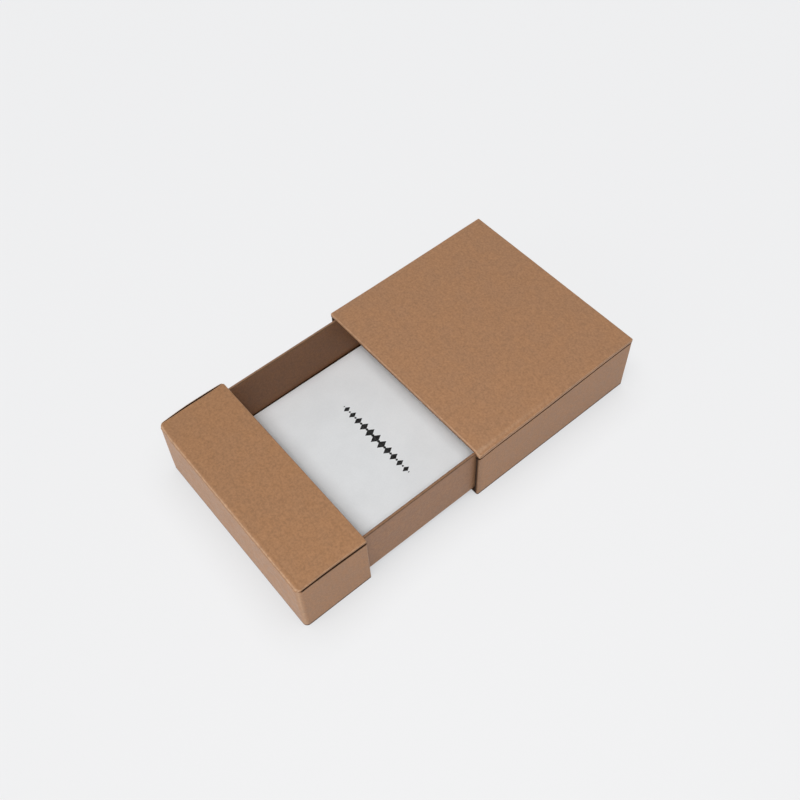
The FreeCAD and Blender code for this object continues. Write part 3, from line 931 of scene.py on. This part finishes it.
def head_lid():
    """The top panel's paper, folded down over the front without a slit."""
    radii = edges(left_top=0.5, right_top=0.5, front_top=1.5, back_top=0.45, left_front=0.1,
                  right_front=0.1, left_back=0.2, right_back=0.2)
    corners = {**HEAD_CORNERS, ("left", "back"): LID_BACK_FOLD, ("right", "back"): 0.6 * MM}
    return panel("head_top_wrap", head_top_low, head_top_high, shaded_head_paper, radii, corners, COVER_PAPER,
                 inset=head_inset, has_underside=False, shape=head_lid_shape)


def head_walls():
    """The paper of the head's cheeks, front and bottom margin."""
    high = Vector((HALF_WIDTH, head_body_high.y, head_body_high.z))
    paper = Channel(head_body_low, high, opens="back", wall=HEAD_WALL + 0.08 * MM,
                    wall_top=head_side_top, fold=HEAD_FOLD, nose=0.7 * MM, inner_nose=0.15 * MM,
                    turn_in=8 * MM, window=(head_base_low, head_base_high))
    return paper.piece("head_body_wrap", cover_paper, shape=head_lean, shade=head_shade)


put(head_lid(), "drawer", "cover_paper", "head_top_paper")
put(head_walls(), "drawer", "cover_paper", "head_body_paper")
for node_name, trims in HEAD_TRIMS.items():
    lean = unchanged if node_name in UPRIGHT_BOARDS else head_lean
    uprights = HEAD_CORNERS if node_name == "head_bottom_board" else {}
    put(core(node_name, *trims, lean, uprights), "drawer", "greyboard", node_name)

# ---- the lip of paper at the head's left
LIP_THICKNESS = 0.14 * MM
LIP_FOOT = 0.3 * MM  # below the slit's lower edge
LIP_TOP, LIP_RISE = 32 * MM, 1.1 * MM
LIP_GAP = (0.12 * MM, 0.03 * MM)  # from the head's side plane, at the lip's foot and above it
LIP_ENDS = (MM, 0.4 * MM)  # from the head's front and back
LIP_STEPS = 8
# painted shade on the lip's inner face
LIP_INSIDE_SHADE = 0.93


def round_corner(way, radius):
    """How far in a rounded corner lies, at a way along its side from the corner's tip."""
    return radius - math.sqrt(radius ** 2 - max(radius - way, 0) ** 2)


def lip_row(y, share):
    """The lip's section at a place: up its outside and down its inside."""
    inset = round_corner(y - head_body_low.y, HEAD_FOLD) + round_corner(head_body_high.y - y, LID_BACK_FOLD)
    foot = head_side_top(-1, y) - LIP_FOOT
    top = LIP_TOP + LIP_RISE * leaf(share, 0.55) ** 0.2
    uneven = 0.03 * MM * noise(Vector((y * 90, 4.4, 0)))
    outside = []
    for k in range(LIP_STEPS + 1):
        away = inset + mix(*LIP_GAP, smooth_step(0.1, 0.4, k / LIP_STEPS)) + uneven
        outside.append(Vector((head_top_low.x + away, y, mix(foot, top, k / LIP_STEPS))))
    inside = [point + Vector((LIP_THICKNESS, 0, 0)) for point in reversed(outside)]
    return [head_lean(point) for point in outside + inside]


def standing_lip():
    """The thin paper edge that stands up from the head's left cheek, round the lid's corners."""
    low_y, high_y = head_body_low.y + LIP_ENDS[0], head_body_high.y - LIP_ENDS[1]
    rows = [lip_row(y, (y - low_y) / (high_y - low_y)) for y in grid_lines(low_y, high_y)]
    bm = bmesh.new()
    add_grid(bm, rows)
    bmesh.ops.recalc_face_normals(bm, faces=bm.faces)
    outermost = min(bm.faces, key=lambda face: face.calc_center_median().x)
    if outermost.normal.x > 0:
        bmesh.ops.reverse_faces(bm, faces=bm.faces)
    lip = finish_piece("head_left_lip", bm, cover_paper)
    # The lip's inner face is painted dark: painted shade of the gap beside the lid.
    columns = len(rows[0])
    is_inner = [vertex.index % columns > columns // 2 for vertex in lip.data.vertices]
    store_values(lip.data, "shade", [LIP_INSIDE_SHADE * inner for inner in is_inner])
    return lip


put(standing_lip(), "drawer", "cover_paper")

# ---- the tray's papers and the card
BAY_LOW = bay_low + TRAY_PAPER * Vector((1, 1, 1))
BAY_HIGH = bay_high - TRAY_PAPER * Vector((1, 1, 0))
BAY_FOLD = 0.3 * MM
BAY_TOP, BAY_TOP_WAVE = 0.9 * MM, 0.12 * MM  # of the lining's edge, below the rim
CARD_EDGE, CARD_CORNER = 0.07 * MM, 0.3 * MM
CARD_INSET = (0.3 * MM, 0.7 * MM)  # of the card's left side, at the front and back


def bay_wall_top(side, place):
    """The lining ends a little below the tray's rim, unevenly, and covers the head's back."""
    if side == "front" and abs(place) < BAY_HIGH.x - 0.5 * MM:
        return HEAD_SEAM - 0.02 * MM
    return tray_high.z - BAY_TOP - BAY_TOP_WAVE * noise(Vector((place * 90, 0.3, 0.7)))


def bay_shade(point):
    """Painted shade: it is dark down beside the card."""
    return 0.85 * (1 - smooth_step(-0.1 * MM, 0.4 * MM, point.z - card_high.z))


def card_inset(side, share):
    """The card lies a little askew, with more room at its left."""
    return mix(*CARD_INSET, share) if side < 0 else 0


def loose_card():
    """The card on the bay's floor."""
    corners = {(side, end): CARD_CORNER for side in ("left", "right") for end in ("front", "back")}
    return panel("card", card_low, card_high, card_material, all_edges(CARD_EDGE), corners,
                 inset=card_inset)


put(tray_wrap(tray_paper), "drawer", "tray_paper", "tray_outer_paper")
put(open_box("tray_bay_lining", BAY_LOW, BAY_HIGH, BAY_FOLD, bay_wall_top,
             ("left", "right", "front", "back"), shaded_bay_paper, BAY_SHEET, bay_shade),
    "drawer", "tray_paper", "tray_lining")
put(loose_card(), "drawer", "white_card", "insert_card")

for node_name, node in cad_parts.items():
    if not node.hide_render:
        node.data.materials.clear()
        node.data.materials.append(board if node_name.endswith("_board") else cover_paper)

# ---- floor, light and camera
FLOOR_COLOUR = rgb(240, 235, 228)
FLOOR_SHOWN = rgb(240, 241, 243)
BACKGROUND = rgb(241, 241, 241)
FLOOR_REACH = 3  # metres
FLOOR_GLOW = 0.88  # the share of FLOOR_SHOWN in what is seen of the floor
CONTACT_REACH = 20 * MM  # how far from the object the glow is dimmed, as painted shadow
CONTACT_POWER = 0.25
OVERHEAD_LIGHT, LEVEL_LIGHT = 0.18, 0.88
KEY_LIGHT, KEY_SOFTNESS, KEY_FROM = 1.33, math.radians(20), (0, -0.35, 1)
FILL_LIGHT, FILL_SOFTNESS, FILL_FROM = 1.2, math.radians(60), (0, -1, 0.15)
NEAR_LIGHT = 0.8  # on a surface that faces it, at the object
NEAR_LIGHT_SIZE = 60 * MM
NEAR_LIGHT_AIM = Vector((0, -0.04, 0))
CAMERA_PLACE = Vector((0.190750, -0.190192, 0.360066))
CAMERA_TURN = [math.radians(angle) for angle in (52.9685, 54.9904, -3.3448)]  # azimuth, elevation, roll
CAMERA_LENS, CAMERA_SENSOR = 42.53, 36  # millimetres
PHOTO_SIZE = 800  # pixels
CAMERA_SHIFT = (-0.25 / PHOTO_SIZE, 0.25 / PHOTO_SIZE)  # of the photo's framing


def make_floor():
    """A pale floor, mostly as bright as its surroundings, with a faint shadow: painted where its glow is
    dimmed near the object, and real in its lit share.
    """
    bm = bmesh.new()
    bmesh.ops.create_grid(bm, x_segments=8, y_segments=8, size=FLOOR_REACH)
    mesh = bpy.data.meshes.new("floor")
    bm.to_mesh(mesh)
    bm.free()
    n = Nodes(bpy.data.materials.new("pale_floor"))
    openness = n.add("AmbientOcclusion", {"Distance": CONTACT_REACH}, samples=16)
    strength = n.math("POWER", openness.outputs["AO"], CONTACT_POWER)
    glow = n.add("Emission", {"Color": FLOOR_SHOWN, "Strength": strength})
    lit = n.add("BsdfDiffuse", {"Color": FLOOR_COLOUR})
    surface = n.mix_shaders(n.math("MULTIPLY", n.background_rays(), FLOOR_GLOW), lit, glow)
    n.add("OutputMaterial", {"Surface": surface.outputs[0]})
    mesh.materials.append(n.owner)
    add_object("floor", mesh)


def make_world():
    """Even pale light from all sides, stronger from low down, in front of a pale background."""
    world = bpy.data.worlds.new("studio")
    bpy.context.scene.world = world
    n = Nodes(world)
    way = n.add("SeparateXYZ", {0: n.coordinates.outputs["Generated"]})
    strength = n.span(way.outputs["Z"], 0, 1, LEVEL_LIGHT, OVERHEAD_LIGHT, smooth=False)
    light = n.add("Background", {"Strength": strength})
    shown = n.add("Background", {"Color": BACKGROUND})
    surface = n.mix_shaders(n.background_rays(), light, shown)
    n.add("OutputWorld", {"Surface": surface.outputs[0]})


def add_light(name, kind, energy, source, **settings):
    """A light that shines from the direction of its source."""
    data = bpy.data.lights.new(name, kind)
    data.energy = energy
    for key, value in settings.items():
        setattr(data, key, value)
    light = add_object(name, data)
    light.rotation_euler = Vector(source).to_track_quat("Z", "Y").to_euler()
    return light


def make_near_light():
    """A small soft light beside the lens, that reaches into the tray."""
    energy = NEAR_LIGHT * math.pi * CAMERA_PLACE.length_squared
    light = add_light("near_light", "AREA", energy, CAMERA_PLACE - NEAR_LIGHT_AIM, shape="DISK",
                      size=NEAR_LIGHT_SIZE)
    light.location = CAMERA_PLACE
    light.visible_camera = False


def make_camera():
    """The photo's viewpoint."""
    azimuth, elevation, roll = CAMERA_TURN
    data = bpy.data.cameras.new("camera")
    data.lens, data.sensor_width = CAMERA_LENS, CAMERA_SENSOR
    data.sensor_fit = "HORIZONTAL"
    data.shift_x, data.shift_y = CAMERA_SHIFT
    camera = add_object("camera", data)
    turned = (Matrix.Rotation(azimuth, 4, "Z") @ Matrix.Rotation(math.pi / 2 - elevation, 4, "X")
              @ Matrix.Rotation(roll, 4, "Z"))
    camera.matrix_world = Matrix.Translation(CAMERA_PLACE) @ turned
    bpy.context.scene.camera = camera


make_floor()
make_world()
add_light("key", "SUN", KEY_LIGHT, KEY_FROM, angle=KEY_SOFTNESS)
add_light("front_fill", "SUN", FILL_LIGHT, FILL_FROM, angle=FILL_SOFTNESS)
make_near_light()
make_camera()
bpy.context.scene.view_settings.view_transform = "Standard"
